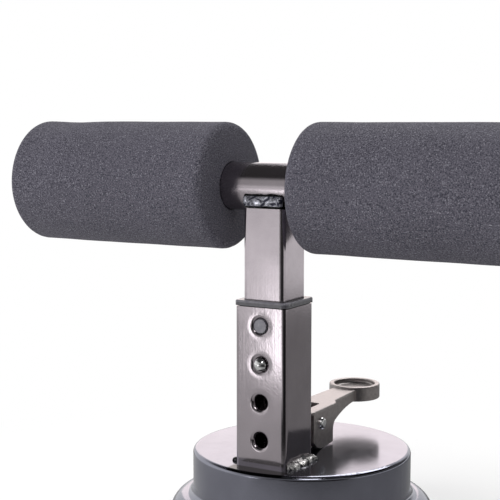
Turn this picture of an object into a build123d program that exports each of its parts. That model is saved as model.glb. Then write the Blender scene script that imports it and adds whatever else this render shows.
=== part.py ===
"""Portable sit-up bar: a suction base with a cam lever, a telescoping square post and a
foam-covered foot bar.

Units are millimetres. The origin is on the floor, on the axis of the suction base. +Z is up,
+X runs along the foot bar, and -Y is the front, where the post shows its adjusting holes.
"""
import os
from math import acos, cos, pi, radians, sin, sqrt

from build123d import *

# ---------------------------------------------------------------- driving dimensions

# housing, pressed steel
housing_height = 43.2
housing_wall = 1.5
cap_radius = 59.5
cap_edge_radius = 2.4
waist_fillet = 4.3
shoulder_radius = 10.2
brim_radius = 72.1
brim_lift = 3.6
brim_height = 4.2

# suction pad, moulded rubber
lip_radius = 80.0
lip_edge_thickness = 1.0
seal_width = 17.0
pad_clearance = 0.3
pad_rim_width = 12.0
pad_rim_drop = 1.5
membrane_thickness = 2.8
chamber_height = 7.2
chamber_edge_height = 5.2
chamber_slope_width = 9.0
plate_ring_width = 3.0
plate_ring_height = 2.2

# stud, plate, spring and bush
stud_diameter = 9.4
stud_running_clearance = 0.05
stud_top_rise = 4.2
plate_radius = 22.0
plate_thickness = 2.0
plate_boss_radius = 8.0
plate_boss_height = 5.0
press_clearance = 0.02
bush_radius = 6.4
bush_flange_radius = 12.0
bush_flange_thickness = 1.2
bush_spigot_length = 6.0
spring_wire = 1.8
spring_coil_radius = 9.9
spring_turns = 5.0
spring_seat_clearance = 0.15

# cam lever
pivot_height = 14.3
pivot_drop = 3.5
lever_swing = 90.0
cam_clearance = 0.2
lever_top_rise = 7.5
lever_top_fillet = 1.1
fork_half_width = 12.0
fork_slot_half_width = 5.0
fork_front = 8.0
fork_rear = 14.2
fork_heel_lift = 0.8
fork_shoulder = 18.5
fork_shoulder_fillet = 1.2
fork_knee_drop = 7.5
fork_under_rise = 0.1
slot_end = 12.6
slot_end_fillet = 2.0
nose_reach = 9.4
nose_thickness = 1.8
nose_corner_fillet = 3.0
arm_root = 24.3
arm_root_half_width = 8.6
arm_root_drop = 7.7
arm_root_fillet = 3.0
arm_half_width = 7.4
arm_under_rise = 1.5
thumb_reach = 66.35
thumb_radius = 14.85
thumb_top_rise = 8.7
thumb_thickness = 8.4
thumb_recess_radius = 11.9
thumb_recess_depth = 3.0
thumb_recess_fillet = 1.8
thumb_edge_fillet = 0.7

# lever pin
pin_diameter = 5.0
pin_head_radius = 3.3
pin_head_height = 1.9
pin_running_clearance = 0.05

# outer post
post_set_back = 31.0
outer_post_size = 30.0
outer_post_wall = 1.5
outer_post_corner = 2.5
outer_post_length = 82.7
hole_diameter = 7.6
hole_lip_width = 2.0
hole_lip_radius = 2.2
hole_count = 4
hole_pitch = 20.0
top_hole_drop = 9.5

# collar sleeve between the posts
collar_overhang = 0.5
collar_rim_height = 2.7
collar_rim_fillet = 0.7
collar_gap = 0.5
sleeve_length = 20.0
sleeve_fit = 0.05
inner_post_clearance = 0.15
boss_clearance = 0.3

# inner post
inner_post_size = 24.0
inner_post_wall = 1.2
inner_post_corner = 2.5
inner_post_below_button = 12.4
inner_post_under_bar = 2.0

# snap button and its leaf spring
button_hole_index = 1
button_clearance = 0.3
button_dome = 2.0
button_proud = 2.3
leaf_thickness = 0.8
leaf_width = 10.0
leaf_above_button = 17.0
leaf_below_button = 7.0
leaf_bend_radius = 3.0
leaf_gap = 0.15

# foot bar
bar_height = 143.7
bar_diameter = 25.0
bar_wall = 1.5
bar_half_length = 148.5
plug_flange_thickness = 1.5
plug_depth = 12.0
plug_wall = 1.8
plug_edge_fillet = 0.7

# foam rollers
foam_radius = 33.5
foam_bore_clearance = 0.3
foam_length = 124.6
right_foam_push = 3.0
foam_edge_fillet = 4.0

# weld beads
bar_bead_radius = 3.4
bar_bead_pitch = 2.9
bar_bead_drop = 7.6
bar_bead_stand_off = 1.0
base_bead_radius = 3.3
base_bead_pitch = 3.0
base_bead_lead = 1.5
bead_wobble = 0.45

# ---------------------------------------------------------------- places worked out from them

edge_tolerance = 0.01
housing_under = housing_height - housing_wall
stud_radius = stud_diameter / 2
pin_radius = pin_diameter / 2
post_y = -post_set_back
post_half = outer_post_size / 2
post_front_y = post_y - post_half
post_top = housing_height + outer_post_length
outer_bore = outer_post_size - 2 * outer_post_wall
outer_bore_corner = outer_post_corner - outer_post_wall
sleeve_size = outer_bore - 2 * sleeve_fit
sleeve_bore = inner_post_size + 2 * inner_post_clearance
hole_radius = hole_diameter / 2
hole_heights = [post_top - top_hole_drop - row * hole_pitch for row in range(hole_count)]
button_z = hole_heights[button_hole_index]
inner_post_bottom = button_z - inner_post_below_button
bar_radius = bar_diameter / 2
bar_z = housing_height + bar_height
inner_post_top = bar_z - bar_radius + inner_post_under_bar
left_foam_end = bar_half_length + plug_flange_thickness
right_foam_end = left_foam_end - right_foam_push
pivot_z = housing_height + pivot_height
membrane_top = chamber_height + membrane_thickness
plate_bottom = membrane_top + pad_clearance
plate_top = plate_bottom + plate_thickness
stud_top = pivot_z + stud_top_rise


def revolve_profile(edges):
    """Turn a closed outline in the XZ plane about Z into one solid."""
    return revolve(make_face(Wire(edges)), axis=Axis.Z)


def lines(*points):
    """Straight edges through points given as (radius, height)."""
    places = [Vector(r, 0, z) for r, z in points]
    return [Line(a, b) for a, b in zip(places, places[1:])]


def arc(centre, radius, start_angle, end_angle):
    """An arc in the XZ plane about (radius, height), with angles in degrees from +X to +Z."""
    def place(angle):
        turn = radians(angle)
        return Vector(centre[0] + radius * cos(turn), 0, centre[1] + radius * sin(turn))
    return ThreePointArc(place(start_angle), place((start_angle + end_angle) / 2), place(end_angle))


def square_tube(size, corner, wall, bottom, top, centre_y):
    """A hollow square tube standing on the plane z = bottom."""
    outside = RectangleRounded(size, size, corner)
    inside = RectangleRounded(size - 2 * wall, size - 2 * wall, corner - wall)
    return Pos(0, centre_y, bottom) * extrude(outside - inside, top - bottom)


def cylinder_along_x(radius, x_from, x_to, y, z):
    return Pos((x_from + x_to) / 2, y, z) * Rot(0, 90, 0) * Cylinder(radius, x_to - x_from)


def cylinder_along_y(radius, y_from, y_to, x, z):
    return Pos(x, (y_from + y_to) / 2, z) * Rot(90, 0, 0) * Cylinder(radius, y_to - y_from)


def box_between(low, high):
    size = [b - a for a, b in zip(low, high)]
    middle = [(a + b) / 2 for a, b in zip(low, high)]
    return Pos(*middle) * Box(*size)


# ---------------------------------------------------------------- suction base

def waist_geometry(inset):
    """Centres and meeting angles of the housing's waist fillet and shoulder arc.

    inset is how far the surface lies inside the outer skin.
    """
    shoulder = (brim_radius - shoulder_radius, brim_lift + brim_height)
    waist_x = cap_radius + waist_fillet
    rise = sqrt((shoulder_radius + waist_fillet) ** 2 - (waist_x - shoulder[0]) ** 2)
    waist = (waist_x, shoulder[1] + rise)
    meeting = acos((waist_x - shoulder[0]) / (shoulder_radius + waist_fillet)) * 180 / pi
    return shoulder, waist, meeting, shoulder_radius - inset, waist_fillet + inset


def housing_skin(inset):
    """Edges of the housing's skin from the top face down to the brim."""
    shoulder, waist, meeting, convex, concave = waist_geometry(inset)
    wall_r = cap_radius - inset
    top_z = housing_height - inset
    edge_centre = (cap_radius - cap_edge_radius, housing_height - cap_edge_radius)
    return ([arc(edge_centre, cap_edge_radius - inset, 90, 0)]
            + lines((wall_r, edge_centre[1]), (wall_r, waist[1]))
            + [arc(waist, concave, 180, 180 + meeting), arc(shoulder, convex, meeting, 0)]
            + lines((brim_radius - inset, shoulder[1]), (brim_radius - inset, brim_lift))), top_z


def make_housing():
    bore = bush_radius + press_clearance
    outer, top_z = housing_skin(0)
    inner, under_z = housing_skin(housing_wall)
    flat_r = cap_radius - cap_edge_radius
    closing = (lines((bore, under_z), (bore, top_z), (flat_r, top_z))
               + lines((brim_radius, brim_lift), (brim_radius - housing_wall, brim_lift))
               + lines((flat_r, under_z), (bore, under_z)))
    return revolve_profile(outer + inner + closing)


def make_pad():
    """Rubber pad: a sealing lip, a thick rim under the brim and a thin lifted membrane."""
    rim_r = brim_radius - housing_wall - pad_clearance
    rim_inner = rim_r - pad_rim_width
    shoulder, _, _, convex, _ = waist_geometry(housing_wall + pad_clearance)
    rim_top = shoulder[1] + convex - pad_rim_drop
    crown = shoulder[0] + sqrt(convex ** 2 - (rim_top - shoulder[1]) ** 2)
    crown_angle = acos((crown - shoulder[0]) / convex) * 180 / pi
    seal_inner = lip_radius - seal_width
    chamber_r = seal_inner - chamber_slope_width
    lip_root = brim_lift - pad_clearance
    ring_inner = plate_radius + pad_clearance
    ring_outer = ring_inner + plate_ring_width
    ring_top = membrane_top + plate_ring_height
    membrane_edge = chamber_edge_height + membrane_thickness
    edges = lines((0, chamber_height), (ring_outer, chamber_height),
                  (chamber_r, chamber_edge_height), (seal_inner, 0),
                  (lip_radius, 0), (lip_radius, lip_edge_thickness), (brim_radius, lip_root),
                  (rim_r, lip_root), (rim_r, shoulder[1]))
    edges += [arc(shoulder, convex, 0, crown_angle)]
    edges += lines((crown, rim_top), (rim_inner, rim_top), (chamber_r, membrane_edge),
                   (ring_outer, membrane_top), (ring_outer, ring_top), (ring_inner, ring_top),
                   (ring_inner, membrane_top), (0, membrane_top), (0, chamber_height))
    return revolve_profile(edges)


def make_plate():
    """Steel plate on the membrane, with a boss that the stud screws into."""
    disc = Pos(0, 0, (plate_bottom + plate_top) / 2) * Cylinder(plate_radius, plate_thickness)
    boss = Pos(0, 0, plate_top + plate_boss_height / 2) * Cylinder(plate_boss_radius, plate_boss_height)
    bore_height = plate_thickness + plate_boss_height
    bore = Pos(0, 0, plate_bottom + bore_height / 2) * Cylinder(stud_radius + press_clearance, bore_height)
    return disc + boss - bore


def make_stud():
    """Pull stud: a round bar with a domed top and a cross hole for the lever pin."""
    shank = Pos(0, 0, (plate_bottom + stud_top) / 2) * Cylinder(stud_radius, stud_top - plate_bottom)
    shank = fillet(shank.edges().group_by(Axis.Z)[-1], stud_radius * 0.35)
    eye = cylinder_along_x(pin_radius + pin_running_clearance, -stud_diameter, stud_diameter, 0, pivot_z)
    return shank - eye


def make_bush():
    """Flanged bush in the housing that guides the stud and seats the spring."""
    flange_z = housing_under - bush_flange_thickness
    flange = Pos(0, 0, housing_under - bush_flange_thickness / 2) * Cylinder(
        bush_flange_radius, bush_flange_thickness)
    spigot_low = flange_z - bush_spigot_length
    spigot = Pos(0, 0, (spigot_low + housing_height) / 2) * Cylinder(
        bush_radius, housing_height - spigot_low)
    bore = Pos(0, 0, housing_under) * Cylinder(stud_radius + stud_running_clearance, housing_height)
    return flange + spigot - bore


def make_return_spring():
    """Compression spring that pushes the plate down when the lever opens."""
    low = plate_top + spring_wire / 2 + spring_seat_clearance
    high = housing_under - bush_flange_thickness - spring_wire / 2 - spring_seat_clearance
    path = Helix(pitch=(high - low) / spring_turns, height=high - low, radius=spring_coil_radius)
    start = Plane(origin=path @ 0, z_dir=path % 0)
    return Pos(0, 0, low) * sweep(start * Circle(spring_wire / 2), path=path, is_frenet=True)


# ---------------------------------------------------------------- cam lever

def cam_point(turn):
    """A point of the cam, from the pivot, that bears when the lever is raised by turn degrees.

    The bearing distance falls evenly with the angle, so the stud sinks in step with the lever.
    """
    fall = pivot_drop / radians(lever_swing)
    angle = radians(turn)
    reach = pivot_height - cam_clearance - fall * angle
    return (-reach * sin(angle) + fall * cos(angle), -reach * cos(angle) - fall * sin(angle))


def cam_outline():
    """Cam points from the flat foot round to the fork's front face."""
    points = [cam_point(turn) for turn in range(0, int(lever_swing), 10)]
    kept = [p for p in points if p[0] > -fork_front]
    turn = 10.0 * len(kept)
    while cam_point(turn)[0] < -fork_front:
        turn -= 0.1
    return kept + [cam_point(turn)]


def side_face(edges):
    """A face in the plane X = 0 from edges drawn as (y, height above the pivot)."""
    return make_face(Wire(edges))


def side_point(y, z):
    return Vector(0, y, pivot_z + z)


def side_lines(*points):
    places = [side_point(*p) for p in points]
    return [Line(a, b) for a, b in zip(places, places[1:])]


def fork_outline():
    """The cheeks in side view: cam foot, front, nose, flat top and a hollow rear."""
    cam = cam_outline()
    heel = cam_clearance - pivot_height + fork_heel_lift
    foot = Spline(*[side_point(*p) for p in cam], tangents=[(0, -1, 0), (0, -0.35, 1)])
    hollow = Bezier(side_point(arm_root, fork_under_rise), side_point(fork_rear, 0),
                    side_point(fork_rear, -fork_knee_drop))
    nose_under = lever_top_rise - nose_thickness
    front = side_lines(cam[-1], (-fork_front, nose_under), (-nose_reach, nose_under),
                       (-nose_reach, lever_top_rise), (arm_root, lever_top_rise),
                       (arm_root, fork_under_rise))
    rear = side_lines((fork_rear, -fork_knee_drop), (fork_rear, heel), cam[0])
    return [foot] + front + [hollow] + rear


def arm_outline():
    """The arm in side view: a flat top and an underside that sweeps up to the thumb pad."""
    thumb_near = thumb_reach - thumb_radius
    sweep = Bezier(side_point(thumb_near, arm_under_rise),
                   side_point((thumb_near + fork_rear) / 2, arm_under_rise),
                   side_point(fork_rear, -arm_root_drop))
    top = side_lines((fork_rear, -arm_root_drop), (fork_rear, lever_top_rise),
                     (thumb_reach, lever_top_rise), (thumb_reach, arm_under_rise),
                     (thumb_near, arm_under_rise))
    return top + [sweep]


def waist_cutter():
    """What is cut from one side so that the fork narrows smoothly to the arm."""
    beyond = fork_half_width + 1
    corners = [(fork_half_width, fork_shoulder), (arm_root_half_width, arm_root),
               (arm_half_width, thumb_reach - thumb_radius), (arm_half_width, thumb_reach + 1),
               (beyond, thumb_reach + 1), (beyond, fork_shoulder)]
    plan = make_face(Polyline(*[Vector(x, y, 0) for x, y in corners], close=True))
    root = plan.vertices().sort_by_distance((arm_root_half_width, arm_root, 0))[0]
    plan = fillet(root, arm_root_fillet)
    return Pos(0, 0, pivot_z - pivot_height) * extrude(plan, pivot_height + thumb_radius)


def make_fork_and_arm():
    """Fork and arm in one: wide cheeks that narrow to the arm, with eased top edges."""
    fork = extrude(side_face(fork_outline()), fork_half_width, both=True)
    fork = fillet(fork.edges().filter_by(Axis.Z).group_by(Axis.Y)[0], nose_corner_fillet)
    body = fork + extrude(side_face(arm_outline()), arm_root_half_width, both=True)
    cutter = waist_cutter()
    body = body - cutter - mirror(cutter, about=Plane.YZ)
    near, far = fork_shoulder - edge_tolerance, fork_shoulder + edge_tolerance
    shoulders = body.edges().filter_by(Axis.Z).filter_by_position(Axis.Y, near, far)
    body = fillet(shoulders, fork_shoulder_fillet)
    return fillet(body.edges().group_by(Axis.Z)[-1], lever_top_fillet)


def make_lever():
    body = make_fork_and_arm()
    # slot between the cheeks, closed only by the root of the arm
    slot_low = pivot_z - pivot_height
    slot = box_between((-fork_slot_half_width, -nose_reach - 1, slot_low),
                       (fork_slot_half_width, slot_end, pivot_z + lever_top_rise + 1))
    body -= fillet(slot.edges().filter_by(Axis.Z).group_by(Axis.Y)[-1], slot_end_fillet)
    body -= box_between((-fork_slot_half_width, slot_end - slot_end_fillet, slot_low),
                        (fork_slot_half_width, fork_shoulder, pivot_z - arm_root_drop))
    # thumb pad, a shallow dish
    thumb_top = pivot_z + thumb_top_rise
    dish = Pos(0, thumb_reach, thumb_top) * Cylinder(thumb_recess_radius, 2 * thumb_recess_depth)
    dish = fillet(dish.edges().group_by(Axis.Z)[0], thumb_recess_fillet)
    pad = Pos(0, thumb_reach, thumb_top - thumb_thickness / 2) * Cylinder(thumb_radius, thumb_thickness)
    pad = fillet(pad.edges().group_by(Axis.Z)[0], thumb_edge_fillet) - dish
    pad = fillet(pad.edges().group_by(Axis.Z)[-1], thumb_edge_fillet)
    body = body - dish + pad
    body -= cylinder_along_x(pin_radius + press_clearance, -fork_half_width - 1, fork_half_width + 1,
                             0, pivot_z)
    return body


def make_lever_pin():
    """Rivet pin with a low domed head on each side of the fork."""
    pin = cylinder_along_x(pin_radius, -fork_half_width, fork_half_width, 0, pivot_z)
    for side in (-1, 1):
        near = side * fork_half_width
        far = side * (fork_half_width + pin_head_height)
        head = cylinder_along_x(pin_head_radius, min(near, far), max(near, far), 0, pivot_z)
        rim = head.edges().sort_by(Axis.X)[-1 if side > 0 else 0]
        pin += fillet(rim, pin_head_height * 0.8)
    return pin


# ---------------------------------------------------------------- post

def make_hole_cutter():
    """A hole whose lip rolls in smoothly from the face, as a punch leaves it.

    It points along +Z, with the post's face at height 0.
    """
    outer = hole_radius + hole_lip_width
    turn = acos(hole_lip_width / hole_lip_radius) * 180 / pi
    depth = hole_lip_radius * (1 - sin(radians(turn)))
    roll = arc((outer, -hole_lip_radius), hole_lip_radius, 90, 180 - turn)
    outline = [roll] + lines((hole_radius, -depth), (hole_radius, -post_half), (0, -post_half),
                             (0, hole_lip_width), (outer, hole_lip_width), (outer, 0))
    return revolve_profile(outline)


def make_outer_post():
    post = square_tube(outer_post_size, outer_post_corner, outer_post_wall,
                       housing_height, post_top, post_y)
    cutter = make_hole_cutter()
    for z in hole_heights:
        post -= Pos(0, post_front_y, z) * Rot(90, 0, 0) * cutter
    return post


def make_collar():
    """Plastic sleeve between the posts, with a rim on top and a boss that fills the top hole."""
    rim_size = outer_post_size + 2 * collar_overhang
    rim_low = post_top + collar_gap
    rim = extrude(RectangleRounded(rim_size, rim_size, outer_post_corner + collar_overhang),
                  collar_rim_height)
    rim = Pos(0, post_y, rim_low) * rim
    rim = fillet(rim.edges().group_by(Axis.Z)[-1], collar_rim_fillet)
    sleeve_low = post_top - sleeve_length
    sleeve = extrude(RectangleRounded(sleeve_size, sleeve_size, outer_bore_corner + sleeve_fit),
                     rim_low - sleeve_low)
    sleeve = Pos(0, post_y, sleeve_low) * sleeve
    boss = cylinder_along_y(hole_radius - boss_clearance, post_front_y, post_y, 0, hole_heights[0])
    bore = extrude(RectangleRounded(sleeve_bore, sleeve_bore, inner_post_corner),
                   sleeve_length + 2 * collar_rim_height)
    bore = Pos(0, post_y, sleeve_low) * bore
    return rim + sleeve + boss - bore


def bar_blank(radius):
    return cylinder_along_x(radius, -bar_half_length, bar_half_length, post_y, bar_z)


def make_inner_post():
    post = square_tube(inner_post_size, inner_post_corner, inner_post_wall,
                       inner_post_bottom, inner_post_top, post_y)
    post -= bar_blank(bar_radius)
    front = post_y - inner_post_size / 2
    post -= cylinder_along_y(hole_radius, front - 1, post_y, 0, button_z)
    return post


def leaf_front_y():
    """Front face of the leaf spring's front leg."""
    return post_y - inner_post_size / 2 + inner_post_wall + leaf_gap


def make_snap_button():
    """Domed round button that stands through both posts."""
    radius = hole_radius - button_clearance
    ball_radius = (radius ** 2 + button_dome ** 2) / (2 * button_dome)
    length = leaf_front_y() - post_front_y + button_proud
    shoulder = length - button_dome
    opening = acos((ball_radius - button_dome) / ball_radius) * 180 / pi
    outline = lines((0, length), (0, 0), (radius, 0), (radius, shoulder))
    outline += [arc((0, length - ball_radius), ball_radius, 90 - opening, 90)]
    return Pos(0, leaf_front_y(), button_z) * Rot(90, 0, 0) * revolve_profile(outline)


def make_button_spring():
    """Bent leaf spring inside the inner post, with the button on its front leg."""
    front = leaf_front_y()
    rear = post_y + inner_post_size / 2 - inner_post_wall - leaf_gap
    top = button_z + leaf_above_button
    low = button_z - leaf_below_button
    strip = box_between((-leaf_width / 2, front, low), (leaf_width / 2, rear, top))
    upright = strip.edges().filter_by(Axis.X).group_by(Axis.Z)[-1]
    strip = fillet(upright, leaf_bend_radius)
    hollow = box_between((-leaf_width / 2 - 1, front + leaf_thickness, low - 1),
                         (leaf_width / 2 + 1, rear - leaf_thickness, top - leaf_thickness))
    edges = hollow.edges().filter_by(Axis.X).group_by(Axis.Z)[-1]
    return strip - fillet(edges, leaf_bend_radius - leaf_thickness)


# ---------------------------------------------------------------- foot bar

def make_crossbar():
    return bar_blank(bar_radius) - bar_blank(bar_radius - bar_wall)


def make_bar_plug(side):
    """Plastic end plug: a hollow stem in the bar and a flat flange over its end."""
    end = bar_half_length
    outer_end = end + plug_flange_thickness
    stem_radius = bar_radius - bar_wall - press_clearance
    flange = cylinder_along_x(bar_radius, end, outer_end, post_y, bar_z)
    flange = fillet(flange.edges().sort_by(Axis.X)[-1], plug_edge_fillet)
    stem = cylinder_along_x(stem_radius, end - plug_depth, end, post_y, bar_z)
    hollow = cylinder_along_x(stem_radius - plug_wall, end - plug_depth, end, post_y, bar_z)
    plug = flange + (stem - hollow)
    return plug if side > 0 else mirror(plug, about=Plane.YZ)


def make_foam(side, end):
    """Foam tube with eased ends, free to turn on the bar."""
    start = end - foam_length
    body = cylinder_along_x(foam_radius, start, end, post_y, bar_z)
    body = fillet(body.edges(), foam_edge_fillet)
    foam = body - cylinder_along_x(bar_radius + foam_bore_clearance, start, end, post_y, bar_z)
    return foam if side > 0 else mirror(foam, about=Plane.YZ)


# ---------------------------------------------------------------- weld beads

def bead(start, direction, length, radius, pitch):
    """A row of overlapping drops, as a weld lays them."""
    count = max(2, round(length / pitch) + 1)
    row = None
    for index in range(count):
        share = index / (count - 1)
        place = start + direction * (length * share)
        size = radius + bead_wobble * cos(2.4 * index) * 0.5
        drop = Pos(place.X, place.Y, place.Z + bead_wobble * sin(1.7 * index)) * Sphere(size)
        row = drop if row is None else row + drop
    return row


def bar_weld(side, post, bar):
    """Bead between the bar and the inner post's front or back edge."""
    half = inner_post_size / 2
    run = inner_post_size - 2 * bar_bead_radius
    start = Vector(-run / 2, post_y + side * (half - bar_bead_stand_off), bar_z - bar_bead_drop)
    row = bead(start, Vector(1, 0, 0), run, bar_bead_radius, bar_bead_pitch)
    core = box_between((-half, post_y - half, inner_post_bottom), (half, post_y + half, inner_post_top))
    return row - bar_blank(bar_radius) - core


def base_weld(side):
    """Bead between the outer post's side and the housing."""
    run = outer_post_size - 2 * base_bead_lead
    start = Vector(side * post_half, post_y - run / 2, housing_height)
    row = bead(start, Vector(0, 1, 0), run, base_bead_radius, base_bead_pitch)
    below = box_between((-brim_radius, -brim_radius, 0), (brim_radius, brim_radius, housing_height))
    block = box_between((-post_half, post_y - post_half, 0), (post_half, post_y + post_half, post_top))
    return row - below - block


# ---------------------------------------------------------------- all parts

def main():
    inner_post = make_inner_post()
    crossbar = make_crossbar()
    parts = {
        "housing_cap": make_housing(),
        "suction_pad": make_pad(),
        "pad_plate": make_plate(),
        "pull_stud": make_stud(),
        "stud_bush": make_bush(),
        "return_spring": make_return_spring(),
        "lever": make_lever(),
        "lever_pin": make_lever_pin(),
        "outer_post": make_outer_post(),
        "post_collar": make_collar(),
        "inner_post": inner_post,
        "snap_button": make_snap_button(),
        "button_spring": make_button_spring(),
        "crossbar": crossbar,
        "bar_weld_front": bar_weld(-1, inner_post, crossbar),
        "bar_weld_back": bar_weld(1, inner_post, crossbar),
    }
    for name, side, foam_end in (("left", -1, left_foam_end), ("right", 1, right_foam_end)):
        parts["bar_plug_" + name] = make_bar_plug(side)
        parts["foam_" + name] = make_foam(side, foam_end)
        parts["post_weld_" + name] = base_weld(side)
    os.makedirs("parts", exist_ok=True)
    for name, shape in parts.items():
        export_step(shape, f"parts/{name}.step")


main()
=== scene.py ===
"""A portable sit-up bar: suction base with a cam lever, telescoping square post and foam foot bar.

Lengths are metres. The origin is on the floor under the middle of the suction base, with +X along
the foot bar, -Y towards the adjusting holes and +Z up.
"""
import math

import bmesh
import bpy
from mathutils import Euler, Matrix, Vector, noise


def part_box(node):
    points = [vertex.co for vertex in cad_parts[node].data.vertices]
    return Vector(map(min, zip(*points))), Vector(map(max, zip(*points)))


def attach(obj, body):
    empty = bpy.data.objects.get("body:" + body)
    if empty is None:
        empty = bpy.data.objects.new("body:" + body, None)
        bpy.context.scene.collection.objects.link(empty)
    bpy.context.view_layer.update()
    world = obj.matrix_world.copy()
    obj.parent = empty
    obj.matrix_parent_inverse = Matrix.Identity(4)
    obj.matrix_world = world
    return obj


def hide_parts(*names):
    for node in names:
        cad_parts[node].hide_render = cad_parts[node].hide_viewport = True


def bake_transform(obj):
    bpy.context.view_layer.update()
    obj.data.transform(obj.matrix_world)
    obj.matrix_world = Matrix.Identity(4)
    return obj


MM = 0.001

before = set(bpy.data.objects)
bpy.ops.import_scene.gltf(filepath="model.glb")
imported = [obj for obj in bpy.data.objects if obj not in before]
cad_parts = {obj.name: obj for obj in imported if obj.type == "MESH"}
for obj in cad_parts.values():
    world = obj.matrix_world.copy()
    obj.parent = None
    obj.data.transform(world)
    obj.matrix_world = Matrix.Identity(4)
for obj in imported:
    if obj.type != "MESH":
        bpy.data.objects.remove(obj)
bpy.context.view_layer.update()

housing_low, housing_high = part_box("housing_cap")
post_low, post_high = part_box("outer_post")
inner_low, inner_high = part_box("inner_post")
bar_low, bar_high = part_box("crossbar")
button_low, button_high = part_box("snap_button")

bar_radius = (bar_high.z - bar_low.z) / 2
bar_z = (bar_high.z + bar_low.z) / 2
bar_y = (bar_high.y + bar_low.y) / 2
button_z = (button_low.z + button_high.z) / 2
cap_top = housing_high.z
collar_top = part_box("post_collar")[1].z

# the dish that the punch left round each hole of the outer post
HOLE_PITCH = 20 * MM
DISH_INNER = 3.5 * MM
DISH_OUTER = 8.0 * MM
DISH_DEPTH = 0.08 * MM
# painted shade: a dark strip painted into the housing's colour just ahead of the post, as distances from
# the post's sides
STRIP_SHADE_AHEAD = (3.2 * MM, 4.6 * MM)
STRIP_SHADE_LEFT = (0.5 * MM, 3.5 * MM)
STRIP_SHADE_RIGHT = (5.0 * MM, 1.0 * MM)
# painted shade: the gap under the collar's rim, as heights over the outer post, and beside the inner
# post, painted dark in the collar's colour
RIM_GAP = (-0.1 * MM, 0.6 * MM)
RIM_INSET = 0.6 * MM
# painted highlight and shade: how far below its top edge the rim's colour goes from light to dark, and by
# how much
RIM_FADE = (0.3 * MM, 1.3 * MM)
RIM_PAINTED_LIGHT = 0.32
RIM_PAINTED_SHADE = 0.22


# ---------------------------------------------------------------- node helpers

class Nodes:
    """A short way to lay out a material's nodes."""

    def __init__(self, name):
        self.material = bpy.data.materials.new(name)
        self.material.use_nodes = True
        self.tree = self.material.node_tree
        self.tree.nodes.clear()
        self.output = self.add("ShaderNodeOutputMaterial")
        self.shader = self.add("ShaderNodeBsdfPrincipled")
        self.link(self.shader, "BSDF", self.output, "Surface")
        self.coordinates = self.add("ShaderNodeTexCoord")

    def add(self, kind, **values):
        node = self.tree.nodes.new(kind)
        for name, value in values.items():
            setattr(node, name, value)
        return node

    def link(self, source, source_socket, target, target_socket):
        self.tree.links.new(source.outputs[source_socket], target.inputs[target_socket])

    def set(self, **values):
        for name, value in values.items():
            self.shader.inputs[name.replace("_", " ")].default_value = value
        return self

    def noise(self, scale, detail=2.0, roughness=0.5, distortion=0.0, stretch=(1, 1, 1)):
        mapping = self.add("ShaderNodeMapping")
        mapping.inputs["Scale"].default_value = stretch
        self.link(self.coordinates, "Object", mapping, "Vector")
        texture = self.add("ShaderNodeTexNoise")
        self.link(mapping, "Vector", texture, "Vector")
        texture.inputs["Scale"].default_value = scale
        texture.inputs["Detail"].default_value = detail
        texture.inputs["Roughness"].default_value = roughness
        texture.inputs["Distortion"].default_value = distortion
        return texture

    def cells(self, scale, feature="F1"):
        texture = self.add("ShaderNodeTexVoronoi", feature=feature)
        self.link(self.coordinates, "Object", texture, "Vector")
        texture.inputs["Scale"].default_value = scale
        return texture

    def ramp(self, source, socket, stops):
        ramp = self.add("ShaderNodeValToRGB")
        self.link(source, socket, ramp, "Fac")
        elements = ramp.color_ramp.elements
        while len(elements) < len(stops):
            elements.new(0.5)
        for element, (place, colour) in zip(elements, stops):
            element.position = place
            element.color = (*colour, 1)
        return ramp

    def bump(self, source, socket, strength, distance, after=None):
        bump = self.add("ShaderNodeBump")
        bump.inputs["Strength"].default_value = strength
        bump.inputs["Distance"].default_value = distance
        self.link(source, socket, bump, "Height")
        if after is not None:
            self.link(after, "Normal", bump, "Normal")
        return bump

    def axes(self):
        """X, Y and Z of the point being shaded, as sockets."""
        split = self.add("ShaderNodeSeparateXYZ")
        self.link(self.coordinates, "Object", split, "Vector")
        return split.outputs

    def number(self, operation, a, b=0.0):
        """A math node's result; a and b are sockets or plain numbers."""
        node = self.add("ShaderNodeMath", operation=operation)
        for value, socket in zip((a, b), node.inputs):
            if isinstance(value, bpy.types.NodeSocket):
                self.tree.links.new(value, socket)
            else:
                socket.default_value = value
        return node.outputs[0]

    def ease(self, value, start, end):
        """A smooth climb from 0 at start to 1 at end."""
        node = self.add("ShaderNodeMapRange", interpolation_type="SMOOTHSTEP")
        self.tree.links.new(value, node.inputs["Value"])
        node.inputs["From Min"].default_value = start
        node.inputs["From Max"].default_value = end
        return node.outputs["Result"]

    def multiply(self, a, b):
        """Colour outputs of two nodes, multiplied, into the base colour."""
        mix = self.add("ShaderNodeMix", data_type="RGBA", blend_type="MULTIPLY")
        mix.inputs["Factor"].default_value = 1
        self.tree.links.new(a.outputs["Color"], mix.inputs[6])
        self.tree.links.new(b.outputs["Color"], mix.inputs[7])
        self.tree.links.new(mix.outputs[2], self.shader.inputs["Base Color"])


def grey(value):
    return (value, value, value)


def scaled(colour, factor):
    return tuple(part * factor for part in colour)


# ---------------------------------------------------------------- finishes

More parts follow.
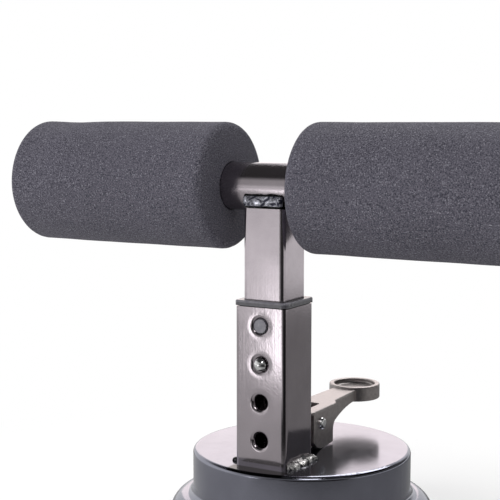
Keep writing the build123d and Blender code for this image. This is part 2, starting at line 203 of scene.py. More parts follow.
def enamel(name, tone, roughness, spread=0.06, streaks=0.0, waves=0.0, dished=False, shaded_strip=False):
    """Baked black-pearl coat on steel, with a faint orange peel.

    streaks are the drawing lines of tube and waves its slow unevenness. dished is for the post with the
    punched holes; the housing's flag paints shade into its colour, a dark strip just ahead of the post.
    """
    coat = Nodes(name)
    coat.set(Metallic=1.0)
    cloud = coat.noise(70, detail=3)
    ramp = coat.ramp(cloud, "Fac", [(0.3, scaled(tone, 1 - spread)), (0.7, scaled(tone, 1 + spread))])
    coat.link(ramp, "Color", coat.shader, "Base Color")
    if shaded_strip:
        # painted shade: darkens the housing's colour in the strip ahead of the post
        strip_shade = coat.ramp(shade_ahead_of_post(coat), "Value", [(0.0, grey(1.0)), (0.6, grey(0.05))])
        coat.multiply(ramp, strip_shade)
    worn = coat.noise(260, detail=4, roughness=0.6)
    gloss = coat.ramp(worn, "Fac", [(0.3, grey(roughness * 0.88)), (0.72, grey(roughness * 1.14))])
    coat.link(gloss, "Color", coat.shader, "Roughness")
    relief = coat.bump(coat.noise(900, detail=1), "Fac", 0.06, 0.0002)
    if streaks:
        drawn = coat.noise(900, detail=3, stretch=(1, 1, 0.02))
        relief = coat.bump(drawn, "Fac", streaks, 0.0002, after=relief)
    if waves:
        relief = coat.bump(coat.noise(22, detail=0), "Fac", 1.0, waves, after=relief)
    if dished:
        relief = coat.bump(punched_dishes(coat), "Value", 1.0, DISH_DEPTH, after=relief)
    coat.link(relief, "Normal", coat.shader, "Normal")
    return coat.material


def punched_dishes(coat):
    """Height of the post's front face, which the punch has pulled in around each hole."""
    x, y, z = coat.axes()
    low = coat.number("SUBTRACT", z, button_z - 3.5 * HOLE_PITCH)
    row = coat.number("SUBTRACT", coat.number("MODULO", low, HOLE_PITCH), HOLE_PITCH / 2)
    squares = coat.number("ADD", coat.number("MULTIPLY", x, x), coat.number("MULTIPLY", row, row))
    rise = coat.ease(coat.number("SQRT", squares), DISH_INNER, DISH_OUTER)
    front = coat.number("LESS_THAN", y, post_low.y + 1.0 * MM)
    return coat.number("MULTIPLY", rise, front).node


def shade_ahead_of_post(coat):
    """Painted shade: 1 on the housing's top just ahead of the post, where the colour is darkened, and 0
    elsewhere.
    """
    x, y, z = coat.axes()
    ahead = coat.ease(y, post_low.y - STRIP_SHADE_AHEAD[0], post_low.y - STRIP_SHADE_AHEAD[1])
    left = coat.ease(x, post_low.x + STRIP_SHADE_LEFT[0], post_low.x + STRIP_SHADE_LEFT[1])
    right = coat.ease(x, post_high.x + STRIP_SHADE_RIGHT[0], post_high.x + STRIP_SHADE_RIGHT[1])
    top = coat.number("GREATER_THAN", z, cap_top - 1.0 * MM)
    depth = coat.number("MULTIPLY", ahead, top)
    return coat.number("MULTIPLY", depth, coat.number("MULTIPLY", left, right)).node


def roller_foam():
    """Charcoal closed-cell foam, cut and ground, with an open fine grain."""
    foam = Nodes("roller_foam")
    foam.set(Roughness=0.9)
    grain = foam.noise(1500, detail=2, roughness=0.6)
    speckle = foam.ramp(grain, "Fac", [(0.36, (0.03, 0.029, 0.042)), (0.5, (0.088, 0.083, 0.106)),
                                       (0.62, (0.118, 0.113, 0.138)), (0.72, (0.27, 0.265, 0.3))])
    cloud = foam.noise(45, detail=2)
    shade = foam.ramp(cloud, "Fac", [(0.3, grey(0.92)), (0.7, grey(1.0))])
    foam.multiply(speckle, shade)
    pits = foam.bump(foam.cells(2600), "Distance", 0.4, 0.0004)
    rough = foam.bump(grain, "Fac", 0.45, 0.0005, after=pits)
    foam.link(rough, "Normal", foam.shader, "Normal")
    return foam.material


def moulded_rubber():
    """Black rubber with the satin skin of its mould."""
    rubber = Nodes("moulded_rubber")
    grain = rubber.noise(700, detail=2)
    tone = rubber.ramp(grain, "Fac", [(0.3, grey(0.018)), (0.75, grey(0.034))])
    rubber.link(tone, "Color", rubber.shader, "Base Color")
    gloss = rubber.ramp(rubber.noise(120, detail=3), "Fac", [(0.3, grey(0.46)), (0.7, grey(0.62))])
    rubber.link(gloss, "Color", rubber.shader, "Roughness")
    bump = rubber.bump(grain, "Fac", 0.15, 0.0003)
    rubber.link(bump, "Normal", rubber.shader, "Normal")
    return rubber.material


def metal_plate(name, dark, light, roughness, grain=400):
    """Bare plated metal with a slightly cloudy brightness."""
    plate = Nodes(name)
    plate.set(Metallic=1.0)
    tone = plate.noise(grain, detail=3)
    ramp = plate.ramp(tone, "Fac", [(0.3, dark), (0.7, light)])
    plate.link(ramp, "Color", plate.shader, "Base Color")
    gloss = plate.ramp(tone, "Fac", [(0.3, grey(roughness * 0.8)), (0.7, grey(roughness * 1.2))])
    plate.link(gloss, "Color", plate.shader, "Roughness")
    bump = plate.bump(tone, "Fac", 0.06, 0.0002)
    plate.link(bump, "Normal", plate.shader, "Normal")
    return plate.material


def moulded_plastic(name, dark, light, roughness, shade_builder=None):
    """A plain moulding. An optional node builder darkens the colour as painted shade, by how far a point
    lies in a shaded gap.
    """
    plastic = Nodes(name)
    tone = plastic.noise(500, detail=2)
    ramp = plastic.ramp(tone, "Fac", [(0.3, dark), (0.7, light)])
    plastic.link(ramp, "Color", plastic.shader, "Base Color")
    if shade_builder:
        # painted shade: the colour darkens where the builder's node says a point lies in shade
        gap = plastic.ramp(shade_builder(plastic), "Value", [(0.3, grey(1.0)), (0.7, grey(0.03))])
        plastic.multiply(ramp, gap)
    gloss = plastic.ramp(tone, "Fac", [(0.3, grey(roughness * 0.85)), (0.7, grey(roughness * 1.15))])
    plastic.link(gloss, "Color", plastic.shader, "Roughness")
    bump = plastic.bump(tone, "Fac", 0.1, 0.0002)
    plastic.link(bump, "Normal", plastic.shader, "Normal")
    return plastic.material


def collar_painted_shade(plastic):
    """Painted shade: 1 under the collar's rim and beside the inner post, 0 on its boss, and between on
    the rim, which is lightest at its top edge as a painted highlight.
    """
    x, y, z = plastic.axes()
    above = plastic.number("GREATER_THAN", z, post_high.z + RIM_GAP[0])
    below = plastic.number("LESS_THAN", z, post_high.z + RIM_GAP[1])
    across = plastic.number("ABSOLUTE", x)
    deep = plastic.number("ABSOLUTE", plastic.number("SUBTRACT", y, bar_y))
    out = plastic.number("MAXIMUM", across, deep)
    inside = plastic.number("LESS_THAN", out, inner_high.x + RIM_INSET)
    beside = plastic.number("MULTIPLY", above, inside)
    # painted highlight and shade: the rim is lighter at its top edge and darker lower down
    lower = plastic.ease(z, collar_top - RIM_FADE[0], collar_top - RIM_FADE[1])
    shade = plastic.number("ADD", plastic.number("MULTIPLY", lower, RIM_PAINTED_SHADE), RIM_PAINTED_LIGHT)
    gap = plastic.number("MAXIMUM", plastic.number("MULTIPLY", above, below), beside)
    return plastic.number("MAXIMUM", gap, plastic.number("MULTIPLY", above, shade)).node


def coated_casting():
    """Grey-black coat over a fine cast skin."""
    casting = Nodes("coated_casting")
    casting.set(Metallic=1.0)
    tone = casting.noise(520, detail=4, roughness=0.6)
    ramp = casting.ramp(tone, "Fac", [(0.3, (0.32, 0.29, 0.285)), (0.7, (0.44, 0.405, 0.395))])
    casting.link(ramp, "Color", casting.shader, "Base Color")
    gloss = casting.ramp(tone, "Fac", [(0.3, grey(0.3)), (0.7, grey(0.42))])
    casting.link(gloss, "Color", casting.shader, "Roughness")
    bump = casting.bump(tone, "Fac", 0.2, 0.0003)
    casting.link(bump, "Normal", casting.shader, "Normal")
    return casting.material


def laid_weld(name, scale, dark, light, middle_z, reach):
    """A weld under a thin coat: bright lumps, dark pits whose darkness is painted shade, and edges
    darkened as painted shade where the bead meets the metal.

    middle_z is the height of the bead's crest and reach how far the bright part goes from it.
    """
    weld = Nodes(name)
    weld.set(Metallic=0.8)
    pits = weld.noise(scale, detail=3, roughness=0.6, distortion=1.6)
    # painted shade: the pits, which the bump below sinks, take the darkest colour
    tone = weld.ramp(pits, "Fac", [(0.45, dark), (0.5, scaled(light, 0.5)), (0.62, light)])
    # painted shade: the colour goes near black toward the bead's upper and lower edges
    off = weld.number("ABSOLUTE", weld.number("SUBTRACT", weld.axes()[2], middle_z))
    ragged = weld.number("ADD", weld.number("DIVIDE", off, reach),
                         weld.number("MULTIPLY", pits.outputs["Fac"], 0.5))
    edge = weld.ramp(ragged.node, "Value", [(0.92, grey(1.0)), (1.0, grey(0.04))])
    weld.multiply(tone, edge)
    gloss = weld.ramp(pits, "Fac", [(0.3, grey(0.4)), (0.7, grey(0.16))])
    weld.link(gloss, "Color", weld.shader, "Roughness")
    bump = weld.bump(pits, "Fac", 0.6, 0.0007)
    weld.link(bump, "Normal", weld.shader, "Normal")
    return weld.material


BAR_BEAD_DROP = 6.7 * MM
FOOT_BEAD_CREST = 1.4 * MM

TUBE_TONE = (0.41, 0.37, 0.395)
tube_enamel = enamel("tube_enamel", TUBE_TONE, 0.17, streaks=0.06, waves=0.0003)
drilled_enamel = enamel("drilled_enamel", TUBE_TONE, 0.12, streaks=0.06, waves=0.0002, dished=True)
housing_enamel = enamel("housing_enamel", (0.25, 0.252, 0.3), 0.15, shaded_strip=True)
bar_bead_finish = laid_weld("bar_bead", 200, (0.04, 0.04, 0.06), (0.55, 0.55, 0.62),
                            bar_z - BAR_BEAD_DROP, 3.6 * MM)
foot_bead_finish = laid_weld("foot_bead", 280, (0.02, 0.02, 0.025), (0.62, 0.6, 0.59),
                             cap_top + FOOT_BEAD_CREST, 1.9 * MM)
dark_bead_finish = laid_weld("dark_foot_bead", 420, (0.01, 0.01, 0.012), (0.12, 0.12, 0.13),
                             cap_top + FOOT_BEAD_CREST, 2.2 * MM)
foam_finish = roller_foam()
rubber = moulded_rubber()
nickel = metal_plate("bright_nickel", grey(0.62), grey(0.82), 0.16)
zinc = metal_plate("zinc_plate", (0.5, 0.51, 0.52), (0.66, 0.66, 0.64), 0.36, grain=250)
collar_plastic = moulded_plastic("collar_plastic", (0.115, 0.11, 0.13), (0.17, 0.165, 0.185), 0.24,
                                 shade_builder=collar_painted_shade)
plug_plastic = moulded_plastic("plug_plastic", grey(0.02), grey(0.035), 0.42)
bush_plastic = moulded_plastic("bush_plastic", grey(0.6), grey(0.7), 0.4)
casting = coated_casting()

node_finish = {
    "housing_cap": housing_enamel, "suction_pad": rubber, "pad_plate": zinc, "pull_stud": zinc,
    "stud_bush": bush_plastic, "return_spring": zinc, "lever": casting, "lever_pin": nickel,
    "outer_post": drilled_enamel, "post_collar": collar_plastic, "inner_post": tube_enamel,
    "snap_button": nickel, "button_spring": zinc, "crossbar": tube_enamel,
    "bar_plug_left": plug_plastic, "bar_plug_right": plug_plastic, "foam_left": foam_finish,
    "foam_right": foam_finish, "bar_weld_front": bar_bead_finish, "bar_weld_back": bar_bead_finish,
    "post_weld_left": dark_bead_finish, "post_weld_right": foot_bead_finish,
}
for node, finish in node_finish.items():
    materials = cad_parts[node].data.materials
    materials.clear()
    materials.append(finish)


# ---------------------------------------------------------------- piece helpers

def finish_piece(name, shape, finish, body, replaced=()):
    """Turn a bmesh into a smooth, finished piece that rides on a body."""
    bmesh.ops.remove_doubles(shape, verts=shape.verts, dist=1e-7)
    bmesh.ops.recalc_face_normals(shape, faces=shape.faces)
    mesh = bpy.data.meshes.new(name)
    shape.to_mesh(mesh)
    shape.free()
    mesh.materials.append(finish)
    mesh.shade_smooth()
    mesh.set_sharp_from_angle(angle=math.radians(40))
    piece = bpy.data.objects.new(name, mesh)
    bpy.context.scene.collection.objects.link(piece)
    if body:
        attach(piece, body)
    if replaced:
        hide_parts(*replaced)
    return piece


def ring_profile(shape, points, rounds, place):
    """A closed wire through (along, radius) points; rounds gives the corner radius of some of them."""
    corners = [shape.verts.new(place(along, radius)) for along, radius in points]
    for pair in zip(corners, corners[1:] + corners[:1]):
        shape.edges.new(pair)
    for index, radius in rounds.items():
        bmesh.ops.bevel(shape, geom=[corners[index]], offset=radius, segments=6, profile=0.5,
                        affect="VERTICES", material=-1)


def turn_profile(shape, axis, centre, steps):
    bmesh.ops.spin(shape, geom=shape.verts[:] + shape.edges[:], axis=axis, cent=centre,
                   angle=2 * math.pi, steps=steps, use_merge=True)


# ---------------------------------------------------------------- foam rollers

FOAM_EDGE = 4.2 * MM
FOAM_BORE_GAP = 0.25 * MM
FOAM_WAVE = 0.3 * MM
FOAM_WAVES_PER_METRE = 38
FOAM_DENT = 0.9 * MM
FOAM_CUTS = 56
FOAM_STEPS = 128


def dent_depth(point, place, reach):
    """How deep a soft dent about a place presses a point, from 0 to 1."""
    return math.exp(-((point - place).length / reach) ** 2)


def foam_roller(name, node, body, dents):
    """A foam tube: rounded ends, a slightly wavy ground skin and a few soft dents.

    Each dent is its place, its reach and its share of the full depth.
    """
    low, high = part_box(node)
    radius = (high.z - low.z) / 2
    bore = bar_radius + FOAM_BORE_GAP
    shape = bmesh.new()
    ring_profile(shape, [(low.x, bore), (low.x, radius), (high.x, radius), (high.x, bore)],
                 {1: FOAM_EDGE, 2: FOAM_EDGE}, lambda x, r: (x, bar_y, bar_z + r))
    long_edges = [edge for edge in shape.edges if edge.calc_length() > 0.8 * (high.x - low.x)]
    bmesh.ops.subdivide_edges(shape, edges=long_edges, cuts=FOAM_CUTS)
    turn_profile(shape, (1, 0, 0), (0, bar_y, bar_z), FOAM_STEPS)
    for vertex in shape.verts:
        out = Vector((0, vertex.co.y - bar_y, vertex.co.z - bar_z))
        share = (out.length - bore) / (radius - bore)
        if share < 0.05:
            continue
        wave = noise.noise(vertex.co * FOAM_WAVES_PER_METRE) * FOAM_WAVE - FOAM_WAVE * 0.5
        dent = sum(depth * dent_depth(vertex.co, Vector(place), reach) for place, reach, depth in dents)
        vertex.co += out.normalized() * (wave - dent * FOAM_DENT) * share
    roller = finish_piece(name, shape, foam_finish, body, (node,))
    return roller


foam_radius = (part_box("foam_left")[1].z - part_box("foam_left")[0].z) / 2
left_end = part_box("foam_left")[0].x
foam_roller("roller_left_foam", "foam_left", "roller_left",
            [((left_end + 21 * MM, bar_y - 8 * MM, bar_z + foam_radius), 12 * MM, 0.8),
             ((left_end + 70 * MM, bar_y - foam_radius, bar_z - 12 * MM), 24 * MM, 0.4)])
foam_roller("roller_right_foam", "foam_right", "roller_right",
            [((60 * MM, bar_y - foam_radius, bar_z + 10 * MM), 26 * MM, 0.4)])


# ---------------------------------------------------------------- leaf spring of the button

LEAF_CUTS = 12


def bending_leaf():
    """The leaf spring, cut across its legs in even bands."""
    low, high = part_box("button_spring")
    shape = bmesh.new()
    shape.from_mesh(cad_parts["button_spring"].data)
    bmesh.ops.remove_doubles(shape, verts=shape.verts, dist=1e-6)
    for cut in range(1, LEAF_CUTS):
        height = low.z + (high.z - low.z) * cut / LEAF_CUTS
        bmesh.ops.bisect_plane(shape, geom=shape.verts[:] + shape.edges[:] + shape.faces[:],
                               plane_co=(0, 0, height), plane_no=(0, 0, 1))
    leaf = finish_piece("button_leaf", shape, zinc, None, ("button_spring",))
    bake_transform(leaf)
    return leaf


bending_leaf()


# ---------------------------------------------------------------- suction pad

PAD_STEPS = 144
CHAMBER_RADIUS = 54.3 * MM
SEAL_INNER = 63.0 * MM
BRIM_GAP = 0.3 * MM
MEMBRANE_LOW = 7.2 * MM
MEMBRANE_HIGH = 10.0 * MM
PLATE_GAP = 0.3 * MM
PLATE_RING = 3.0 * MM
PLATE_RING_RISE = 2.2 * MM
GROOVES = 3
GROOVE_DROP = 2.0 * MM
GROOVE_HALF = 0.8 * MM
GROOVE_LIP = 0.5 * MM


def cad_outline_radius(node):
    low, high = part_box(node)
    return (high.x - low.x) / 2


def pad_place(radius, height):
    return (radius, 0, height)


def pad_rim():
    """The pad's thick outer ring: sealing lip below, rim under the housing's brim."""
    lip = cad_outline_radius("suction_pad")
    brim = cad_outline_radius("housing_cap")
    brim_bottom = housing_low.z
    inside = brim - 1.8 * MM
    points = [(CHAMBER_RADIUS, 5.2 * MM), (SEAL_INNER - 5 * MM, 3.0 * MM), (SEAL_INNER, 0.0), (lip, 0.0),
              (lip, 1.0 * MM), (brim + 1.5 * MM, brim_bottom - 0.5 * MM), (brim, brim_bottom - BRIM_GAP),
              (inside, brim_bottom - BRIM_GAP), (inside, 6.6 * MM), (inside - 2.2 * MM, 11.6 * MM),
              (inside - 6.0 * MM, 13.4 * MM), (inside - 11.5 * MM, 13.6 * MM),
              (CHAMBER_RADIUS, 8.0 * MM)]
    shape = bmesh.new()
    ring_profile(shape, points, {2: 0.6 * MM, 4: 0.4 * MM, 11: 1.2 * MM}, pad_place)
    turn_profile(shape, (0, 0, 1), (0, 0, 0), PAD_STEPS)
    return finish_piece("pad_rim", shape, rubber, "base", ("suction_pad",))


def pad_membrane():
    """The pad's thin middle, with a raised ring round the stud's plate and grooves underneath."""
    ring_in = cad_outline_radius("pad_plate") + PLATE_GAP
    ring_out = ring_in + PLATE_RING
    ring_top = MEMBRANE_HIGH + PLATE_RING_RISE
    underside = [(0.0, MEMBRANE_LOW), (14 * MM, MEMBRANE_LOW), (15 * MM, MEMBRANE_LOW - GROOVE_LIP),
                 (16 * MM, MEMBRANE_LOW), (ring_out, MEMBRANE_LOW)]
    for groove in range(1, GROOVES + 1):
        share = groove / (GROOVES + 1)
        radius = ring_out + (CHAMBER_RADIUS - ring_out) * share
        height = MEMBRANE_LOW - GROOVE_DROP * share
        underside += [(radius - GROOVE_HALF, height), (radius, height - GROOVE_LIP),
                      (radius + GROOVE_HALF, height)]
    top = [(CHAMBER_RADIUS, 5.2 * MM), (CHAMBER_RADIUS, 8.0 * MM), (ring_out, MEMBRANE_HIGH),
           (ring_out, ring_top), (ring_in, ring_top), (ring_in, MEMBRANE_HIGH), (0.0, MEMBRANE_HIGH)]
    shape = bmesh.new()
    ring_profile(shape, underside + top, {}, pad_place)
    axis_edges = [edge for edge in shape.edges if max(v.co.x for v in edge.verts) < 1e-6]
    bmesh.ops.delete(shape, geom=axis_edges, context="EDGES_FACES")
    turn_profile(shape, (0, 0, 1), (0, 0, 0), PAD_STEPS)
    membrane = finish_piece("pad_membrane", shape, rubber, None, ("suction_pad",))
    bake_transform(membrane)
    return membrane


pad_rim()
pad_membrane()


# ---------------------------------------------------------------- weld beads

WELD_ROOT = 1.0 * MM
WELD_SIDES = 24
WELD_SLICE = 0.45 * MM
BAR_BEAD_RUN = 11.6 * MM
BAR_BEAD_SIZE = (1.9 * MM, 3.3 * MM)
BAR_BEAD_PITCH = 7.0 * MM
BAR_BEAD_RIPPLE = 0.35
RIGHT_FOOT_BEAD = (4.6 * MM, 2.6 * MM)
LEFT_FOOT_BEAD = (0.6 * 4.6 * MM, 0.7 * 2.6 * MM)
FOOT_BEAD_FRONT = 1.5 * MM
FOOT_BEAD_BACK = 2.5 * MM
FOOT_BEAD_PITCH = 9.0 * MM
FOOT_BEAD_RIPPLE = 0.06


def weld_bead(name, start, end, out, size, pitch, ripple, seed, finish, body, replaced):
    """A lumpy bead from start to end.

    size is how far it stands out along out, and across that. Its root goes WELD_ROOT into the metal.
    """
    start, end, out = Vector(start), Vector(end), Vector(out).normalized()
    width, height = size
    along = (end - start).normalized()
    up = along.cross(out)
    length = (end - start).length
    steps = max(16, int(length / WELD_SLICE))
    turn = Matrix((out, up, along)).transposed()
    shape = bmesh.new()
    bmesh.ops.create_circle(shape, cap_ends=True, segments=WELD_SIDES, radius=1.0)
    rim = shape.edges[:]
    sections = [shape.verts[:]]
    for _ in range(steps):
        extruded = bmesh.ops.extrude_edge_only(shape, edges=rim)["geom"]
        rim = [item for item in extruded if isinstance(item, bmesh.types.BMEdge)
               and all(v in extruded for v in item.verts)]
        sections.append([item for item in extruded if isinstance(item, bmesh.types.BMVert)])
    bmesh.ops.edgeloop_fill(shape, edges=rim)
    for index, section in enumerate(sections):
        share = index / steps
        travel = share * length / pitch
        ends = min(1.0, math.sqrt(max(0.0, min(share, 1 - share)) * length / (0.4 * height)) + 0.1)
        swell = ends * (1 - ripple + ripple * abs(math.sin(math.pi * (travel + 0.1 * seed))))
        wander = noise.noise(Vector((travel * 0.7, seed, 0)))
        for vertex in section:
            round_x, round_y = vertex.co.x, vertex.co.y
            lump = 1 + 0.22 * noise.noise(Vector((round_x * 1.3, round_y * 1.3, travel * 1.5 + seed * 7)))
            reach = round_x * (width if round_x > 0 else WELD_ROOT) * swell * lump
            rise = (round_y * lump + 0.3 * wander) * height * ends
            vertex.co = start + turn @ Vector((reach, rise, share * length))
    return finish_piece(name, shape, finish, body, replaced)


def bar_weld(side, node, seed):
    face = inner_low.y if side < 0 else inner_high.y
    face += side * 0.1 * MM
    middle = bar_z - BAR_BEAD_DROP
    weld_bead("weld_under_bar_" + node.rsplit("_", 1)[1],
              (-BAR_BEAD_RUN, face, middle), (BAR_BEAD_RUN, face, middle), (0, side, 0), BAR_BEAD_SIZE,
              BAR_BEAD_PITCH, BAR_BEAD_RIPPLE, seed, bar_bead_finish, "upright", (node,))


def foot_weld(side, node, seed):
    face = post_high.x if side > 0 else post_low.x
    face += side * 0.4 * MM
    height = cap_top + 0.1 * MM
    size = RIGHT_FOOT_BEAD if side > 0 else LEFT_FOOT_BEAD
    finish = foot_bead_finish if side > 0 else dark_bead_finish
    weld_bead("weld_at_foot_" + node.rsplit("_", 1)[1],
              (face, post_low.y + FOOT_BEAD_FRONT, height), (face, post_high.y - FOOT_BEAD_BACK, height),
              (side, 0, 0), size, FOOT_BEAD_PITCH, FOOT_BEAD_RIPPLE, seed, finish, "base",
              (node,))


bar_weld(-1, "bar_weld_front", 3.0)
bar_weld(1, "bar_weld_back", 8.0)
foot_weld(1, "post_weld_right", 5.0)
foot_weld(-1, "post_weld_left", 2.0)


# ---------------------------------------------------------------- studio

CAMERA_TURN = math.radians(30.445)
CAMERA_TILT = math.radians(6.144)
CAMERA_PLACE = (309.5 * MM, -582.6 * MM, 222.3 * MM)
CAMERA_LENS = 88.43
FLOOR_RADIUS = 6.0
FLOOR_DROP = 0.2 * MM
toward_camera = Vector((math.sin(CAMERA_TURN), -math.cos(CAMERA_TURN), 0))
right_of_camera = Vector((math.cos(CAMERA_TURN), math.sin(CAMERA_TURN), 0))
# a bright strip on the floor, ahead of the post on the left, that polished faces alone mirror
GLOW_ACROSS = (0.877, -0.48, 0)
GLOW_LEFT = (0.01, 0.032)
GLOW_RIGHT = (0.09, 0.17)
GLOW_NEAR = (0.36, 0.52)
GLOW_FAR = (0.7, 1.05)
GLOW_STRENGTH = 3.6
# a dimmer patch straight ahead of the post, for the front view
FRONT_LEFT = (-0.16, -0.04)
FRONT_RIGHT = (0.04, 0.16)
FRONT_NEAR = (0.3, 0.42)
FRONT_STRENGTH = 0.5


class StageNodes:
    """Math nodes for the world and the floor."""

    def __init__(self, tree):
        self.tree = tree
        tree.nodes.clear()

    def add(self, kind):
        return self.tree.nodes.new(kind)

    def plug(self, value, socket):
        if isinstance(value, bpy.types.NodeSocket):
            self.tree.links.new(value, socket)
        else:
            socket.default_value = value

    def math(self, operation, a, b=0.0):
        node = self.add("ShaderNodeMath")
        node.operation = operation
        self.plug(a, node.inputs[0])
        self.plug(b, node.inputs[1])
        return node.outputs[0]

    def dot(self, vector, direction):
        node = self.add("ShaderNodeVectorMath")
        node.operation = "DOT_PRODUCT"
        self.plug(vector, node.inputs[0])
        node.inputs[1].default_value = direction
        return node.outputs["Value"]

    def unit(self, vector):
        node = self.add("ShaderNodeVectorMath")
        node.operation = "NORMALIZE"
        self.plug(vector, node.inputs[0])
        return node.outputs["Vector"]

    def step(self, value, start, end, first, last):
        """A smooth change from first, below start, to last, above end."""
        node = self.add("ShaderNodeMapRange")
        node.interpolation_type = "SMOOTHSTEP"
        self.plug(value, node.inputs["Value"])
        for name, number in (("From Min", start), ("From Max", end), ("To Min", first), ("To Max", last)):
            self.plug(number, node.inputs[name])
        return node.outputs["Result"]

    def blend(self, share, a, b):
        node = self.add("ShaderNodeMix")
        node.data_type = "FLOAT"
        self.plug(share, node.inputs["Factor"])
        self.plug(a, node.inputs["A"])
        self.plug(b, node.inputs["B"])
        return node.outputs["Result"]


def studio_world():
    """White for the camera. In gloss: a bright low surround, a dark ceiling and a dark camera side."""
    world = bpy.data.worlds.new("studio")
    bpy.context.scene.world = world
    world.use_nodes = True
    kit = StageNodes(world.node_tree)
    direction = kit.add("ShaderNodeTexCoord").outputs["Generated"]
    split = kit.add("ShaderNodeSeparateXYZ")
    kit.plug(direction, split.inputs[0])
    height = split.outputs["Z"]
    facing = kit.dot(direction, toward_camera)
    ceiling = kit.step(height, 0.42, 0.66, 1.0, 0.05)
    left = kit.step(height, 0.04, 0.16, 1.0, 0.55)
    right = kit.step(height, 0.04, 0.12, 1.0, 0.12)
    ahead = kit.step(height, 0.1, 0.35, 0.05, 0.3)
    sides = kit.blend(kit.step(facing, 0.05, 0.35, 0.0, 1.0), 1.0, left)
    sides = kit.blend(kit.step(kit.dot(direction, right_of_camera), 0.4, 0.7, 0.0, 1.0), sides, right)
    around = kit.blend(kit.step(facing, 0.55, 0.8, 0.0, 1.0), sides, ahead)
    surround = kit.math("MULTIPLY", around, ceiling)
    path = kit.add("ShaderNodeLightPath")
    light = kit.blend(path.outputs["Is Glossy Ray"], 0.45, surround)
    seen = kit.math("MAXIMUM", path.outputs["Is Camera Ray"], path.outputs["Is Transmission Ray"])
    background = kit.add("ShaderNodeBackground")
    background.inputs["Color"].default_value = (1, 1, 1, 1)
    kit.plug(kit.blend(seen, light, 1.0), background.inputs["Strength"])
    output = kit.add("ShaderNodeOutputWorld")
    kit.plug(background.outputs[0], output.inputs[0])


def floor_patch(kit, across, ahead, left, right, near, far, strength):
    """A patch with soft sides; far is None where it runs on to the floor's edge."""
    band = kit.math("MULTIPLY", kit.step(across, *left, 0.0, 1.0), kit.step(across, *right, 1.0, 0.0))
    reach = kit.step(ahead, *near, 0.0, 1.0)
    if far:
        reach = kit.math("MULTIPLY", reach, kit.step(ahead, *far, 1.0, 0.0))
    return kit.math("MULTIPLY", kit.math("MULTIPLY", band, reach), strength)


def floor_gloss(kit, place, distance):
    """What polished faces see of the floor: dim near the object, white further off.

    It is black on the camera's side, with a bright strip on the left and a dim patch ahead.
    """
    unit = kit.unit(place)
    facing = kit.dot(unit, toward_camera)
    side = kit.dot(unit, right_of_camera)
    middle_zone = kit.step(side, -0.6, 0.5, 0.6, 0.25)
    far_zone = kit.step(distance, 1.0, 3.0, kit.step(side, -0.6, 0.5, 1.3, 1.05), 0.85)
    far = kit.step(distance, 0.74, 1.02, 0.0, 1.0)
    spread = kit.blend(far, middle_zone, far_zone)
    dark_side = kit.step(facing, 0.58, 0.8, 1.0, 0.05)
    spread = kit.math("MULTIPLY", spread, dark_side)
    near = kit.step(distance, 0.16, 0.26, 1.0, 0.0)
    near_zone = kit.step(side, -0.7, 0.2, 0.5, 0.29)
    spread = kit.blend(near, spread, near_zone)
    ahead = kit.dot(place, (0, -1, 0))
    strip = floor_patch(kit, kit.dot(place, GLOW_ACROSS), ahead, GLOW_LEFT, GLOW_RIGHT, GLOW_NEAR,
                        GLOW_FAR, GLOW_STRENGTH)
    front = floor_patch(kit, kit.dot(place, (1, 0, 0)), ahead, FRONT_LEFT, FRONT_RIGHT, FRONT_NEAR,
                        None, FRONT_STRENGTH)
    return kit.math("ADD", kit.math("ADD", spread, strip), front)


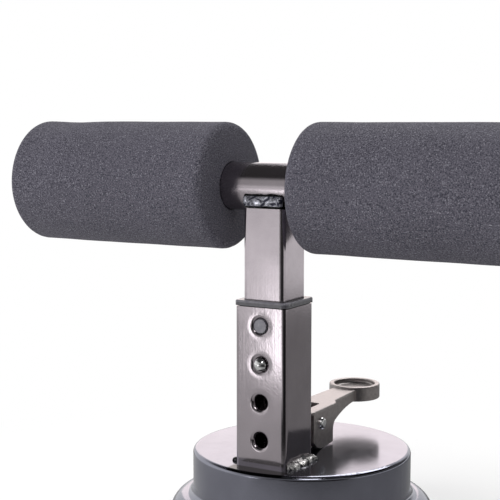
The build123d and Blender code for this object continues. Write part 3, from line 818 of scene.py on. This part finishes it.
def studio_floor():
    """A pale sweep that keeps the object's shadow near it and is white further off."""
    mesh = bpy.data.meshes.new("floor")
    disc = bmesh.new()
    bmesh.ops.create_circle(disc, cap_ends=True, segments=96, radius=FLOOR_RADIUS)
    disc.to_mesh(mesh)
    disc.free()
    floor = bpy.data.objects.new("floor", mesh)
    bpy.context.scene.collection.objects.link(floor)
    floor.location.z = -FLOOR_DROP
    surface = bpy.data.materials.new("floor_paper")
    surface.use_nodes = True
    kit = StageNodes(surface.node_tree)
    place = kit.add("ShaderNodeTexCoord").outputs["Object"]
    length = kit.add("ShaderNodeVectorMath")
    length.operation = "LENGTH"
    kit.plug(place, length.inputs[0])
    distance = length.outputs["Value"]
    path = kit.add("ShaderNodeLightPath")
    strength = kit.blend(path.outputs["Is Glossy Ray"], 1.0, floor_gloss(kit, place, distance))
    clear = kit.step(distance, 0.09, 0.3, 0.35, 1.0)
    camera_share = kit.math("MULTIPLY", path.outputs["Is Camera Ray"], clear)
    share = kit.math("MAXIMUM", camera_share, path.outputs["Is Glossy Ray"])
    paper = kit.add("ShaderNodeBsdfDiffuse")
    paper.inputs["Color"].default_value = (0.9, 0.9, 0.9, 1)
    lit = kit.add("ShaderNodeEmission")
    kit.plug(strength, lit.inputs["Strength"])
    mix = kit.add("ShaderNodeMixShader")
    kit.plug(share, mix.inputs["Fac"])
    kit.plug(paper.outputs[0], mix.inputs[1])
    kit.plug(lit.outputs[0], mix.inputs[2])
    output = kit.add("ShaderNodeOutputMaterial")
    kit.plug(mix.outputs[0], output.inputs["Surface"])
    mesh.materials.append(surface)


def soft_box(name, place, aim, width, height, watts, tint=(1, 1, 1), mirrored=True):
    lamp = bpy.data.lights.new(name, "AREA")
    lamp.shape = "RECTANGLE"
    lamp.size = width
    lamp.size_y = height
    lamp.energy = watts
    lamp.color = tint
    holder = bpy.data.objects.new(name, lamp)
    holder.location = place
    holder.rotation_euler = (Vector(aim) - Vector(place)).to_track_quat("-Z", "Y").to_euler()
    holder.visible_camera = False
    holder.visible_glossy = mirrored
    bpy.context.scene.collection.objects.link(holder)
    return holder


def studio_camera():
    lens = bpy.data.cameras.new("camera")
    lens.sensor_width = 36
    lens.lens = CAMERA_LENS
    lens.clip_start = 0.01
    holder = bpy.data.objects.new("camera", lens)
    holder.location = CAMERA_PLACE
    holder.rotation_euler = Euler((math.pi / 2 - CAMERA_TILT, 0, CAMERA_TURN))
    bpy.context.scene.collection.objects.link(holder)
    bpy.context.scene.camera = holder


bpy.context.scene.view_settings.view_transform = "Standard"
studio_world()
studio_floor()
studio_camera()
middle = (0, -30 * MM, 130 * MM)
soft_box("key_left", (-0.9, -0.9, 0.9), middle, 0.9, 0.9, 15, mirrored=False)
soft_box("fill_right", (1.1, -0.3, 0.7), middle, 0.8, 0.8, 1.6, mirrored=False)
soft_box("back_top", (-0.1, 0.8, 1.1), middle, 1.0, 0.6, 8)
soft_box("over_camera", (0.55, -0.72, 0.92), middle, 0.36, 0.36, 1.8)
soft_box("back_panel", (-0.62, 1.05, 0.34), (0, 0, 45 * MM), 0.8, 0.36, 0.9, tint=(1, 0.8, 0.77))
